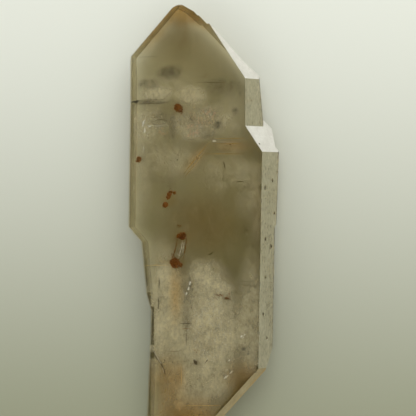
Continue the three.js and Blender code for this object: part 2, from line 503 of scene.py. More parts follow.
SMOKE_ZONES = (
    Zone(182, 28, 120, 110, 0.60),
    Zone(180, 10, 70, 46, 0.80),
    Zone(152, 42, 84, 34, 0.30, 49),
    Zone(222, 46, 90, 34, 0.34, -57),
    Zone(216, 66, 80, 70, 0.22),
    Zone(205, 222, 170, 110, 0.30),
    Zone(190, 212, 70, 60, 0.10),
    Zone(160, 168, 70, 80, 0.10),
    Zone(158, 430, 120, 70, 0.10),
    Zone(134, 75, 14, 90, 0.15),
    Zone(187, 314, 10, 60, 0.16),
)
RUST_ZONES = (
    Zone(183, 12, 64, 46, 1.0),
    Zone(203, 20, 44, 26, 1.0, -40),
    Zone(156, 32, 80, 18, 0.8, 49),
    Zone(196, 158, 60, 16, 0.7, 50),
    Zone(233, 146, 70, 22, 0.5),
    Zone(177, 292, 22, 96, 0.7),
    Zone(168, 380, 60, 80, 0.70),
    Zone(242, 380, 60, 60, 0.60),
    Zone(190, 424, 120, 70, 0.9),
    Zone(236, 396, 86, 18, 0.8, 49),
    Zone(200, 225, 120, 90, 0.30),
    Zone(132, 140, 8, 190, 0.4),
    Zone(170, 262, 50, 10, 0.4),
    Zone(178, 108, 20, 16, 0.6),
    Zone(181, 238, 20, 20, 0.6),
    Zone(175, 262, 20, 18, 0.6),
    Zone(168, 200, 20, 24, 0.6),
)


@dataclass(frozen=True)
class QuartzFinish:
    """Smoky quartz: clear, with absorption for its smoke, and smokier and rusty zones."""

    absorbed: Colour = (0.78, 0.69, 0.355)
    density: float = 90.0
    clear: Colour = (0.99, 0.985, 0.95)
    smoke: Colour = (0.55, 0.48, 0.34)
    rust: Colour = (0.94, 0.70, 0.40)
    polish: Span = (0.01, 0.06)
    mottling: Triple = (130.0, 0.45, 1100.0)
    haze: float = 0.10
    smoke_depth: float = 4.5
    smoke_breaks: Span = (0.6, 0.6)
    rust_depth: float = 3.0
    rust_breaks: Span = (0.6, 0.5)
    ripple_shape: Triple = (0.12, 1.0, 0.12)
    ripple_scale: float = 1500.0
    ripple_detail: float = 3.0
    ripple_strength: float = 0.25
    ripple_height: float = 0.04

    def material(self, view: PhotoView) -> bpy.types.Material:
        """Makes the crystal's material.

        Args:
            view: the view that places the zones.

        Returns:
            The material.
        """
        material, wiring, surface = new_material("smoky_quartz")
        surface.inputs["Metallic"].default_value = 0.0
        surface.inputs["Transmission Weight"].default_value = 1.0
        surface.inputs["IOR"].default_value = QUARTZ_IOR
        mottle = Mottle().place(wiring, *self.mottling)
        mask = ZoneMask(wiring, view)
        rough = wiring.add("MapRange", {
            "Value": mottle.outputs["Speck"], "To Min": self.polish[0], "To Max": self.polish[1],
        })
        wiring.feed(surface.inputs["Roughness"], rough.outputs["Result"])
        smoky = wiring.sum("MULTIPLY_ADD", mottle.outputs["Cloud"], *self.smoke_breaks)
        smoky = wiring.sum("MULTIPLY", smoky, mask.of(SMOKE_ZONES, self.smoke_depth), clamp=True)
        haze = wiring.sum("MULTIPLY", mottle.outputs["Cloud"], self.haze)
        smoky = wiring.sum("ADD", smoky, haze, clamp=True)
        rusty = wiring.sum("MULTIPLY_ADD", mottle.outputs["Speck"], *self.rust_breaks)
        rusty = wiring.sum("MULTIPLY", rusty, mask.of(RUST_ZONES, self.rust_depth), clamp=True)
        colour = wiring.blend(smoky, rgba(self.clear), rgba(self.smoke))
        colour = wiring.blend(rusty, colour, rgba(self.rust), "MULTIPLY")
        wiring.feed(surface.inputs["Base Color"], colour)
        bump = wiring.add("Bump", {
            "Height": self.ripples(wiring), "Strength": self.ripple_strength,
            "Distance": self.ripple_height * MM,
        })
        wiring.feed(surface.inputs["Normal"], bump.outputs[0])
        volume = wiring.add("VolumeAbsorption", {"Color": rgba(self.absorbed), "Density": self.density})
        ending = material.node_tree.nodes["Material Output"]
        wiring.feed(ending.inputs["Volume"], volume.outputs[0])
        return material

    def ripples(self, wiring: Wiring) -> bpy.types.NodeSocket:
        """The fine growth ripples that lie across every long face.

        Args:
            wiring: the material's nodes.

        Returns:
            The ripples' height.
        """
        place = wiring.add("TexCoord")
        drawn = wiring.add("VectorMath", {
            0: place.outputs["Object"], 1: self.ripple_shape,
        }, operation="MULTIPLY")
        fine = wiring.add("TexNoise", {
            "Vector": drawn.outputs[0], "Scale": self.ripple_scale, "Detail": self.ripple_detail,
        })
        return fine.outputs["Fac"]


@dataclass(frozen=True)
class FilmFinish:
    """A matt finish with mottled colour, and open spots where it is thin."""

    name: str
    pale: Colour
    deep: Colour
    cover: Span = (1.0, 1.0)
    scale: float = 260.0
    stretch: float = 1.0
    grain: float = 1800.0
    roughness: float = 0.75
    uneven: float = 0.12
    gloss: float = 0.3
    relief: float = 0.0
    relief_height: float = 0.06
    hem: Colour | None = None
    hem_span: Span = (0.0, 1.0)
    hem_ragged: float = 1.2

    def material(self) -> bpy.types.Material:
        """Makes the finish.

        Returns:
            The material.
        """
        material, wiring, surface = new_material(self.name)
        surface.inputs["Specular IOR Level"].default_value = self.gloss
        mottle = Mottle().place(wiring, self.scale, self.stretch, self.grain)
        share = wiring.sum("MULTIPLY_ADD", mottle.outputs["Speck"], 0.5, 0.0)
        share = wiring.sum("MULTIPLY_ADD", mottle.outputs["Cloud"], 0.5, share, clamp=True)
        tone = wiring.blend(share, rgba(self.deep), rgba(self.pale))
        if self.hem:
            tone = wiring.blend(self.hem_share(wiring, share), tone, rgba(self.hem))
        wiring.feed(surface.inputs["Base Color"], tone)
        rough = wiring.add("MapRange", {
            "Value": mottle.outputs["Speck"],
            "To Min": self.roughness - self.uneven,
            "To Max": self.roughness + self.uneven,
        })
        wiring.feed(surface.inputs["Roughness"], rough.outputs["Result"])
        if self.cover != (1.0, 1.0):
            cover = wiring.add("MapRange", {"Value": share, "To Min": self.cover[0], "To Max": self.cover[1]})
            wiring.feed(surface.inputs["Alpha"], cover.outputs["Result"])
        if self.relief:
            bump = wiring.add("Bump", {
                "Height": mottle.outputs["Speck"], "Strength": self.relief,
                "Distance": self.relief_height * MM,
            })
            wiring.feed(surface.inputs["Normal"], bump.outputs[0])
        return material

    def hem_share(self, wiring: Wiring, share: bpy.types.NodeSocket) -> bpy.types.NodeSocket:
        """How stained each spot is: more towards the lower border of the face.

        Args:
            wiring: the material's nodes.
            share: the mottling, which makes the stain uneven.

        Returns:
            The stain's share.
        """
        place = wiring.add("TexCoord")
        split = wiring.add("SeparateXYZ", {0: place.outputs["Object"]})
        height = wiring.sum("MULTIPLY_ADD", share, self.hem_ragged * MM, split.outputs["Z"])
        low = wiring.add("MapRange", {
            "Value": height, "From Min": self.hem_span[1] * MM, "From Max": self.hem_span[0] * MM,
        }, interpolation_type="SMOOTHSTEP")
        return low.outputs["Result"]


class Film(Enum):
    """The matt finishes on and in the crystal."""

    # Partly frost and partly painted highlight: the pale matt skin stands in for the light that these
    # shoulder faces reflect.
    WHITE_FACE = FilmFinish(
        "frost_and_painted_highlight", (0.69, 0.68, 0.615), (0.56, 0.545, 0.475), (0.86, 0.98), 420.0, 0.5, 2600.0,
    )
    SIDE_FACE = FilmFinish(
        "frosted_side", (0.44, 0.42, 0.285), (0.31, 0.285, 0.175), (0.45, 0.72), 300.0, 0.35, 2400.0,
        hem=(0.20, 0.11, 0.04), hem_span=(2.2, 5.2),
    )
    FOOT_FACE = FilmFinish(
        "frosted_foot", (0.54, 0.46, 0.27), (0.40, 0.32, 0.15), (0.50, 0.72), 300.0, 0.2, 2400.0,
        hem=(0.60, 0.34, 0.08), hem_span=(7.6, 9.6),
    )
    MILK = FilmFinish("milky_flakes", (0.88, 0.83, 0.66), (0.68, 0.61, 0.42))
    PEARL = FilmFinish("pinkish_flakes", (0.86, 0.72, 0.56), (0.66, 0.52, 0.36))
    # Painted glints: near-white matt flakes and slivers that stand in for the light that cracks reflect.
    GLINT = FilmFinish("painted_glint_finish", (0.95, 0.95, 0.90), (0.88, 0.88, 0.80), roughness=0.35)
    SMOKE = FilmFinish("dark_wisp", (0.13, 0.105, 0.055), (0.06, 0.048, 0.024))
    SLATE = FilmFinish("bluish_wisp", (0.11, 0.12, 0.11), (0.05, 0.06, 0.055))
    GOLD = FilmFinish("golden_film", (0.70, 0.55, 0.27), (0.52, 0.39, 0.16))
    RUST = FilmFinish(
        "iron_rust", (0.42, 0.18, 0.035), (0.07, 0.021, 0.005), scale=900.0, grain=4200.0, relief=0.8,
    )

    def on(self, mesh: bpy.types.Mesh) -> None:
        """Gives a mesh this finish as its only material.

        Args:
            mesh: the mesh to dress.
        """
        material = bpy.data.materials.get(self.value.name) or self.value.material()
        mesh.materials.clear()
        mesh.materials.append(material)


def add_piece(name: str, shape: bmesh.types.BMesh, film: Film) -> bpy.types.Object:
    """Turns a finished bmesh into a piece of the part.

    Args:
        name: the piece's name.
        shape: its mesh, which is freed.
        film: its finish.

    Returns:
        The piece, riding on the root.
    """
    mesh = bpy.data.meshes.new(name)
    shape.to_mesh(mesh)
    shape.free()
    film.on(mesh)
    return put_in_place(name, mesh)


def put_in_place(name: str, mesh: bpy.types.Mesh) -> bpy.types.Object:
    """Puts a finished mesh in the scene as a piece of the part.

    Args:
        name: the piece's name.
        mesh: its mesh, with its material.

    Returns:
        The piece, riding on the root.
    """
    piece = bpy.data.objects.new(name, mesh)
    bpy.context.scene.collection.objects.link(piece)
    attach(piece, "root")
    LOG.info("%s: %d faces", name, len(mesh.polygons))
    return piece


@dataclass
class Crystal:
    """The crystal's body, made from a copy of its solid with worn edges."""

    view: PhotoView
    node: str = "crystal"
    edge_wear: float = 0.07
    long_edge: float = 1.2
    sharp: float = math.radians(12)
    merged: float = 0.002
    flat: float = math.radians(0.4)
    cover: float = 0.25
    tree: BVHTree | None = None

    def build(self, frame: dict) -> bpy.types.Object:
        """Builds the body.


        Returns:
            The body, riding on the root and standing for the solid.
        """
        shape = self.copied(frame)
        self.tree = BVHTree.FromBMesh(shape)
        self.wear_edges(shape)
        mesh = bpy.data.meshes.new("quartz_body")
        for face in shape.faces:
            face.material_index = 0
        shape.to_mesh(mesh)
        shape.free()
        mesh.materials.clear()
        mesh.materials.append(QuartzFinish().material(self.view))
        body = put_in_place("quartz_body", mesh)
        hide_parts(self.node)
        return body

    def copied(self, frame: dict) -> bmesh.types.BMesh:
        """A merged copy of the solid, with its flat faces whole again.


        Returns:
            The copy's bmesh.
        """
        shape = bmesh.new()
        shape.from_mesh(frame["nodes"][self.node].data)
        bmesh.ops.remove_doubles(shape, verts=shape.verts, dist=self.merged * MM)
        bmesh.ops.dissolve_limit(shape, angle_limit=self.flat, verts=shape.verts, edges=shape.edges)
        return shape

    def wear_edges(self, shape: bmesh.types.BMesh) -> None:
        """Rounds the long sharp edges a little.

        Args:
            shape: the copy of the solid.
        """
        worn = [
            edge for edge in shape.edges
            if edge.is_manifold and edge.calc_length() > self.long_edge * MM
            and edge.calc_face_angle(0.0) > self.sharp
        ]
        bmesh.ops.bevel(
            shape, geom=worn, offset=self.edge_wear * MM, offset_type="OFFSET", segments=2,
            profile=0.5, affect="EDGES", material=-1, clamp_overlap=False,
        )

    def holds(self, point: Vector, margin: float | None = None) -> bool:
        """Whether a point lies inside the body.

        Args:
            point: the place in metres.
            margin: how far under the surface it has to be, or None for the usual cover.

        Returns:
            Whether the front lies over it and every face is further off than the margin.
        """
        margin = self.cover if margin is None else margin
        over = self.tree.ray_cast(point, Vector((0.0, 0.0, 1.0)))
        if over[0] is None or over[1].z <= 0.0:
            return False
        return self.tree.find_nearest(point)[3] > margin * MM


@dataclass
class FrostedFaces:
    """Thin frosted skins on the faces at the right that scatter the light; the pale skin on the shoulders
    also stands in for the bright reflection that they show, a painted highlight.
    """

    crystal: Crystal
    lift: float = 0.012
    thickness: float = 0.012
    slack: float = 0.06
    smallest: float = 1.0
    skins: tuple[tuple[str, Triple, Film], ...] = (
        # The shoulders' pale skin is partly frost and partly a painted highlight in place of their
        # reflection.
        ("shoulders_frost_and_painted_highlight", (0.75, 0.5, 0.433), Film.WHITE_FACE),
        ("side_frost", (0.866, 0.0, 0.5), Film.SIDE_FACE),
        ("foot_frost", (0.6806, -0.618, 0.393), Film.FOOT_FACE),
    )

    def build(self, frame: dict) -> None:
        """Builds every skin.
        """
        for name, facing, film in self.skins:
            self.skin(frame, name, Vector(facing), film)

    def skin(self, frame: dict, name: str, facing: Vector, film: Film) -> bpy.types.Object:
        """One skin, over every larger face that looks the same way.

        Args:
            name: the piece's name.
            facing: the way that the covered faces look.
            film: the skin's finish.

        Returns:
            The skin.
        """
        shape = self.crystal.copied(frame)
        other = [
            face for face in shape.faces
            if (face.normal - facing).length > self.slack or face.calc_area() <= self.smallest * MM * MM
        ]
        bmesh.ops.delete(shape, geom=other, context="FACES")
        bmesh.ops.triangulate(shape, faces=shape.faces[:])
        clear = facing.normalized() * (self.lift + self.thickness) * MM
        bmesh.ops.translate(shape, vec=clear, verts=shape.verts)
        bmesh.ops.solidify(shape, geom=shape.faces[:], thickness=self.thickness * MM)
        bmesh.ops.recalc_face_normals(shape, faces=shape.faces[:])
        return add_piece(name, shape, film)


@dataclass(frozen=True)
class FlakeCloud:
    """A veil of tiny flakes inside the crystal."""

    name: str
    film: Film
    slot: Slot
    count: int
    size: Span
    depth: Span
    ovals: tuple[Zone, ...]
    clump: Span = (2.4, 4.5)
    cut: float = 0.0
    tilt: float = 40.0
    patch: int = 150
    tries: int = 8
    scatter: Span = (0.55, 0.45)
    clump_depth: float = 6.0
    fine_clumps: Span = (0.5, 2.9)
    ragged: float = 0.35
    squash: Span = (0.5, 1.0)
    peak: float = 0.25

    def build(self, crystal: Crystal, seed: int) -> bpy.types.Object:
        """Builds the veil.

        Args:
            crystal: the body that holds it.
            seed: the number its random draws start from.

        Returns:
            The veil.
        """
        draw = random.Random(seed)
        spots = self.spots(crystal, draw)
        whole = bmesh.new()
        for start in range(0, len(spots), self.patch):
            part = bmesh.new()
            for spot in spots[start:start + self.patch]:
                self.flake(part, spot, draw)
            mesh = bpy.data.meshes.new("flakes")
            part.to_mesh(mesh)
            part.free()
            whole.from_mesh(mesh)
            bpy.data.meshes.remove(mesh)
        return add_piece(self.name, whole, self.film)

    def spots(self, crystal: Crystal, draw: random.Random) -> list[Vector]:
        """Where the flakes lie.

        Args:
            crystal: the body that holds them.
            draw: the source of chance.

        Returns:
            The places in metres.
        """
        found: list[Vector] = []
        weights = [oval.width * oval.height * oval.strength for oval in self.ovals]
        coarse = (*self.clump, self.clump_depth)
        fine_share, fine_scale = self.fine_clumps
        for _ in range(self.count * self.tries):
            if len(found) >= self.count:
                break
            oval = draw.choices(self.ovals, weights)[0]
            reach = math.sqrt(draw.random()) * (self.scatter[0] + self.scatter[1] * draw.random())
            column, row = oval.pixel(reach, draw.random() * math.tau)
            point = crystal.view.inside(column, row, draw.uniform(*self.depth))
            field_at = Vector([side / clump for side, clump in zip(point, coarse)]) / MM
            thick = noise.noise(field_at) + fine_share * noise.noise(field_at * fine_scale)
            if thick < self.cut + self.ragged * (draw.random() - 0.5):
                continue
            if crystal.holds(point):
                found.append(point)
        return found

    def flake(self, shape: bmesh.types.BMesh, spot: Vector, draw: random.Random) -> None:
        """Adds one three-sided flake.

        Args:
            shape: the mesh that it is added to.
            spot: its place in metres.
            draw: the source of chance.
        """
        radius = draw.uniform(*self.size) * MM
        lean = math.radians(self.tilt)
        turn = Matrix.Rotation(draw.gauss(0, lean), 4, "X") @ Matrix.Rotation(draw.gauss(0, lean), 4, "Y")
        turn = Matrix.Translation(spot) @ turn @ Matrix.Rotation(draw.random() * math.tau, 4, "Z")
        squash = Matrix.Diagonal((1.0, draw.uniform(*self.squash), 1.0, 1.0))
        bmesh.ops.create_cone(
            shape, cap_ends=True, segments=3, radius1=radius, radius2=0.0, depth=radius * self.peak,
            matrix=turn @ squash,
        )


@dataclass(frozen=True)
class Veil:
    """A healed crack through the crystal: a thin wavy sheet with milky and dark patches; the milk of its
    lower half is partly painted light.
    """

    milky: tuple[Zone, ...]
    smoky: tuple[Zone, ...]
    rusty: tuple[Zone, ...]
    name: str = "inner_veil"
    sheet: Zone = Zone(195.0, 212.0, 150.0, 420.0)
    depth: float = 1.45
    wave: float = 0.3
    wave_shape: Triple = (1.3, 3.4, 4.0)
    thickness: float = 0.03
    cells: tuple[int, int] = (44, 120)
    gloss: float = 0.2
    roughness: float = 0.8
    broad: Triple = (190.0, 0.7, 1500.0)
    fine: Triple = (420.0, 0.8, 2600.0)
    milk_breaks: tuple[float, ...] = (0.15, 0.8, 0.5, 0.4)
    smoke_breaks: Span = (1.1, 0.4)
    least_cover: float = 0.001
    milk: tuple[Colour, Colour] = ((0.97, 0.92, 0.70), (0.80, 0.74, 0.51))
    smoke: Colour = (0.12, 0.095, 0.05)
    rust: Colour = (0.70, 0.53, 0.28)

    def build(self, crystal: Crystal) -> bpy.types.Object:
        """Builds the veil.

        Args:
            crystal: the body that holds it.

        Returns:
            The veil.
        """
        shape = bmesh.new()
        bmesh.ops.create_grid(shape, x_segments=self.cells[0], y_segments=self.cells[1], size=1.0)
        for vert in shape.verts:
            vert.co = self.spot(crystal.view, vert.co)
        outside = [vert for vert in shape.verts if not crystal.holds(vert.co)]
        bmesh.ops.delete(shape, geom=outside, context="VERTS")
        bmesh.ops.solidify(shape, geom=shape.faces[:], thickness=self.thickness * MM)
        bmesh.ops.recalc_face_normals(shape, faces=shape.faces[:])
        mesh = bpy.data.meshes.new(self.name)
        shape.to_mesh(mesh)
        shape.free()
        mesh.materials.append(self.material(crystal.view))
        return put_in_place(self.name, mesh)

    def spot(self, view: PhotoView, place: Vector) -> Vector:
        """Where one corner of the grid goes.

        Args:
            view: the view that places the sheet.
            place: the corner in the grid, from -1 to 1 both ways.

        Returns:
            Its place in metres.
        """
        across, along, layer = self.wave_shape
        waved = self.depth + self.wave * noise.noise((place.x * across, place.y * along, layer))
        column = self.sheet.column + place.x * self.sheet.width / 2
        row = self.sheet.row - place.y * self.sheet.height / 2
        return view.inside(column, row, waved)

    def material(self, view: PhotoView) -> bpy.types.Material:
        """Makes the film's material.

        Args:
            view: the view that places the patches.

        Returns:
            The material, clear away from the patches.
        """
        material, wiring, surface = new_material("veil_film")
        surface.inputs["Specular IOR Level"].default_value = self.gloss
        surface.inputs["Roughness"].default_value = self.roughness
        mask = ZoneMask(wiring, view)
        broad = Mottle().place(wiring, *self.broad)
        fine = Mottle().place(wiring, *self.fine)
        broken, *shares = self.milk_breaks
        layers = (broad.outputs["Cloud"], fine.outputs["Cloud"], broad.outputs["Speck"])
        for layer, share in zip(layers, shares):
            broken = wiring.sum("MULTIPLY_ADD", layer, share, broken)
        pale = wiring.sum("MULTIPLY", broken, mask.of(self.milky, self.depth), clamp=True)
        uneven = wiring.sum("MULTIPLY_ADD", fine.outputs["Cloud"], *self.smoke_breaks)
        dark = wiring.sum("MULTIPLY", uneven, mask.of(self.smoky, self.depth), clamp=True)
        cover = wiring.sum("ADD", pale, dark, clamp=True)
        share = wiring.sum("DIVIDE", dark, wiring.sum("ADD", cover, self.least_cover), clamp=True)
        milk = wiring.blend(fine.outputs["Speck"], rgba(self.milk[1]), rgba(self.milk[0]))
        milk = wiring.blend(mask.of(self.rusty, self.depth), milk, rgba(self.rust))
        wiring.feed(surface.inputs["Base Color"], wiring.blend(share, milk, rgba(self.smoke)))
        wiring.feed(surface.inputs["Alpha"], cover)
        return material


@dataclass(frozen=True)
class RustClot:
    """A clot of iron rust inside the crystal: rough grains, larger towards its middle."""

    name: str
    column: float
    row: float
    width: float
    height: float
    grains: int
    lean: float = 0.0
    depth: Span = (0.55, 1.0)
    grain: Span = (0.22, 0.50)
    heap: Span = (1.15, 0.6)
    lumps: Span = (0.45, 3.1)
    sides: tuple[Span, Span, Span] = ((0.7, 1.2), (0.8, 1.5), (0.4, 0.7))
    swing: float = 0.6

    def build(self, crystal: Crystal, seed: int) -> bpy.types.Object:
        """Builds the clot.

        Args:
            crystal: the body that holds it.
            seed: the number its random draws start from.

        Returns:
            The clot.
        """
        draw = random.Random(seed)
        shape = bmesh.new()
        oval = Zone(self.column, self.row, self.width, self.height, lean=self.lean)
        for _ in range(self.grains):
            reach = math.sqrt(draw.random())
            column, row = oval.pixel(reach, draw.random() * math.tau)
            point = crystal.view.inside(column, row, draw.uniform(*self.depth))
            if crystal.holds(point, self.grain[1]):
                radius = draw.uniform(*self.grain) * (self.heap[0] - self.heap[1] * reach)
                self.add_grain(shape, point, radius, draw)
        bmesh.ops.recalc_face_normals(shape, faces=shape.faces[:])
        return add_piece(self.name, shape, Film.RUST)

    def add_grain(self, shape: bmesh.types.BMesh, point: Vector, radius: float, draw: random.Random) -> None:
        """Adds one rough grain.

        Args:
            shape: the mesh that it is added to.
            point: its place in metres.
            radius: its radius in millimetres.
            draw: the source of chance.
        """
        squash = Matrix.Diagonal((*(draw.uniform(*side) for side in self.sides), 1.0))
        turn = Matrix.Rotation(draw.uniform(-self.swing, self.swing), 4, "Z")
        made = bmesh.ops.create_icosphere(
            shape, subdivisions=2, radius=radius * MM, matrix=Matrix.Translation(point) @ turn @ squash,
        )
        for vert in made["verts"]:
            out = vert.co - point
            vert.co = point + out * (1.0 + self.lumps[0] * noise.noise(vert.co / MM * self.lumps[1]))


@dataclass(frozen=True)
class Sliver:
    """A thin curved crack or growth line: a ribbon along points of the photo."""

    points: tuple[tuple[float, float], ...]
    width: float
    depth: float = 1.0
    tilt: float = 20.0
    rough: float = 0.0
    taper: Span = (0.08, 0.84)

    def add(self, shape: bmesh.types.BMesh, crystal: Crystal, draw: random.Random) -> None:
        """Adds the ribbon to a mesh.

        Args:
            shape: the mesh that it is added to.
            crystal: the body that holds it.
            draw: the source of chance.
        """
        spots = [crystal.view.inside(column, row, self.depth) for column, row in self.smooth()]
        count = len(spots) - 1
        edge = None
        for number, spot in enumerate(spots):
            ahead = (spots[min(number + 1, count)] - spots[max(number - 1, 0)]).normalized()
            side = ahead.cross(Vector((0, 0, 1))).normalized()
            side.rotate(Matrix.Rotation(math.radians(self.tilt), 3, ahead))
            full = math.sin(math.pi * (self.taper[0] + self.taper[1] * number / count))
            half = self.width * MM / 2 * full * (1.0 + self.rough * draw.uniform(-1, 1))
            ends = (spot - side * half, spot + side * half)
            if edge is None:
                edge = shape.edges.new([shape.verts.new(end) for end in ends])
                before = spot
                continue
            made = bmesh.ops.extrude_edge_only(shape, edges=[edge])["geom"]
            fresh = [item for item in made if isinstance(item, bmesh.types.BMVert)]
            edge = next(
                item for item in made
                if isinstance(item, bmesh.types.BMEdge) and all(vert in fresh for vert in item.verts)
            )
            fresh.sort(key=lambda vert: (vert.co - before).dot(side))
            for vert, end in zip(fresh, ends):
                vert.co = end
            before = spot

    def smooth(self) -> list[tuple[float, float]]:
        """Rounds the ribbon's course.

        Returns:
            The points with two more between each pair, on a soft curve.
        """
        fine: list[tuple[float, float]] = []
        last = len(self.points) - 1
        for number in range(last):
            before, start = self.points[max(number - 1, 0)], self.points[number]
            end, after = self.points[number + 1], self.points[min(number + 2, last)]
            for share in (0.0, 1 / 3, 2 / 3):
                fine.append(tuple(
                    0.5 * (2 * q + (r - p) * share + (2 * p - 5 * q + 4 * r - t) * share ** 2
                           + (3 * q - p - 3 * r + t) * share ** 3)
                    for p, q, r, t in zip(before, start, end, after)
                ))
        fine.append(self.points[-1])
        return fine


@dataclass(frozen=True)
class SliverSet:
    """Cracks and lines of one finish, as one piece."""

    name: str
    film: Film
    slot: Slot
    slivers: tuple[Sliver, ...]
    thickness: float = 0.02

    def build(self, crystal: Crystal, seed: int) -> bpy.types.Object:
        """Builds the piece.

        Args:
            crystal: the body that holds it.
            seed: the number its random draws start from.

        Returns:
            The piece.
        """
        draw = random.Random(seed)
        shape = bmesh.new()
        for sliver in self.slivers:
            sliver.add(shape, crystal, draw)
        bmesh.ops.recalc_face_normals(shape, faces=shape.faces[:])
        bmesh.ops.solidify(shape, geom=shape.faces[:], thickness=self.thickness * MM)
        bmesh.ops.recalc_face_normals(shape, faces=shape.faces[:])
        return add_piece(self.name, shape, self.film)


def lower_milk_and_painted_light_ovals(base: float, left: float) -> tuple[Zone, ...]:
    """The ovals of the milky lower half, whose milk is partly its real cloud and partly painted light that
    brightens that half.

    Args:
        base: the strength of the one near the lower end.
        left: the strength of the one at the lower left.

    Returns:
        The ovals, in the order in which they are drawn from.
    """
    return (
        Zone(208, 278, 46, 44, 1.1), Zone(206, 325, 48, 90, 1.7), Zone(222, 332, 52, 84, 1.1),
        Zone(222, 289, 24, 16, 1.6), Zone(202, 376, 56, 40, base), Zone(204, 340, 34, 44, 1.2),
        Zone(166, 305, 36, 90, 0.8), Zone(160, 345, 34, 50, left),
    )


CLOUDS = (
    FlakeCloud("upper_flakes", Film.MILK, Slot.VEIL, 2600, (0.05, 0.12), (0.4, 1.6), (
        Zone(156, 94, 40, 22, 0.8), Zone(191, 97, 38, 26, 0.8), Zone(150, 119, 44, 40, 1.2),
        Zone(198, 118, 62, 46, 1.0), Zone(228, 112, 34, 44, 0.5), Zone(176, 128, 60, 40, 0.6),
    ), (1.3, 4.2), -0.02),
    FlakeCloud("left_flakes", Film.MILK, Slot.VEIL, 1000, (0.04, 0.10), (0.4, 1.6), (
        Zone(143, 155, 30, 100, 1.2), Zone(172, 160, 60, 44, 0.9), Zone(146, 205, 36, 50, 0.6),
    ), (1.8, 5.0), -0.05),
    # Partly the real cloud and partly painted light: its milk is raised to brighten the lower half.
    FlakeCloud("lower_cloud_with_painted_light", Film.MILK, Slot.VEIL, 24000, (0.06, 0.17), (0.6, 6.5),
               lower_milk_and_painted_light_ovals(0.9, 0.7), (1.0, 1.8), -0.1),
    FlakeCloud("dark_smudges", Film.SMOKE, Slot.IRON, 2600, (0.06, 0.15), (1.5, 5.0), (
        Zone(171, 72, 30, 16, 1.3), Zone(148, 85, 24, 14, 1.1), Zone(222, 86, 44, 22, 0.5),
        Zone(173, 126, 8, 30, 1.1), Zone(200, 122, 20, 12, 0.5), Zone(206, 134, 14, 10, 0.9),
        Zone(187, 312, 6, 50, 1.2), Zone(199, 285, 12, 14, 0.9), Zone(172, 186, 12, 16, 0.5),
        Zone(182.6, 361, 4, 30, 0.7),
    ), (1.6, 2.2), -0.1),
    # Partly the real cloud and partly painted light: its milk is raised to brighten the lower half.
    FlakeCloud("lower_flakes_with_painted_light", Film.MILK, Slot.VEIL, 4000, (0.05, 0.13), (0.35, 1.6),
               lower_milk_and_painted_light_ovals(0.5, 0.8), (1.0, 1.8), -0.1),
    FlakeCloud("pink_patch", Film.PEARL, Slot.VEIL, 1500, (0.06, 0.16), (0.4, 1.4), (
        Zone(192, 131, 17, 18, 1.3), Zone(163, 131, 12, 10, 0.6), Zone(211, 113, 14, 10, 1.0),
        Zone(204, 116, 34, 26, 0.4), Zone(198, 124, 8, 8, 0.7),
    ), (0.8, 1.0), 0.1),
    FlakeCloud("lower_grit", Film.SMOKE, Slot.IRON, 900, (0.04, 0.10), (0.35, 1.2), (
        Zone(210, 318, 50, 90, 1.0), Zone(216, 292, 34, 20, 1.2), Zone(200, 120, 60, 34, 0.8),
        Zone(160, 118, 40, 26, 0.7),
    ), (0.8, 0.9), 0.05),
    FlakeCloud("bluish_marks", Film.SLATE, Slot.IRON, 650, (0.06, 0.14), (0.5, 2.0), (
        Zone(218, 125, 11, 8, 1.2), Zone(235, 111, 7, 9, 1.4), Zone(240, 94, 3, 6, 1.2),
        Zone(243, 348, 7, 8, 1.6), Zone(248, 353, 4, 6, 1.4), Zone(245, 229, 8, 12, 0.6),
        Zone(252.5, 248, 3, 10, 1.3), Zone(252.5, 258, 2.5, 5, 1.3),
    ), (1.1, 1.1), -0.2),
    FlakeCloud("rust_dust", Film.RUST, Slot.IRON, 1500, (0.04, 0.10), (0.3, 2.0), (
        Zone(221, 297, 24, 7, 1.6), Zone(200, 18, 26, 16, 0.7), Zone(182, 9, 14, 8, 0.8),
        Zone(178, 112, 16, 12, 0.8), Zone(206, 76, 14, 8, 0.5), Zone(178, 246, 12, 34, 0.5),
        Zone(196, 363, 12, 6, 0.8),
    ), (0.9, 0.7), 0.05),
    # Painted glints: bright flakes that stand in for the sparkle of the clouds' cracks.
    FlakeCloud("specks", Film.GLINT, Slot.VEIL, 1000, (0.08, 0.19), (0.3, 1.0), (
        Zone(208, 330, 50, 90, 1.0), Zone(207, 113, 22, 14, 1.2), Zone(196, 130, 18, 18, 1.0),
        Zone(152, 120, 40, 34, 0.6), Zone(243, 336, 7, 6, 1.6), Zone(226, 372, 10, 8, 1.2),
        Zone(248, 234, 4, 4, 1.4), Zone(180, 250, 8, 22, 0.8),
    ), (0.7, 0.7), 0.1),
)

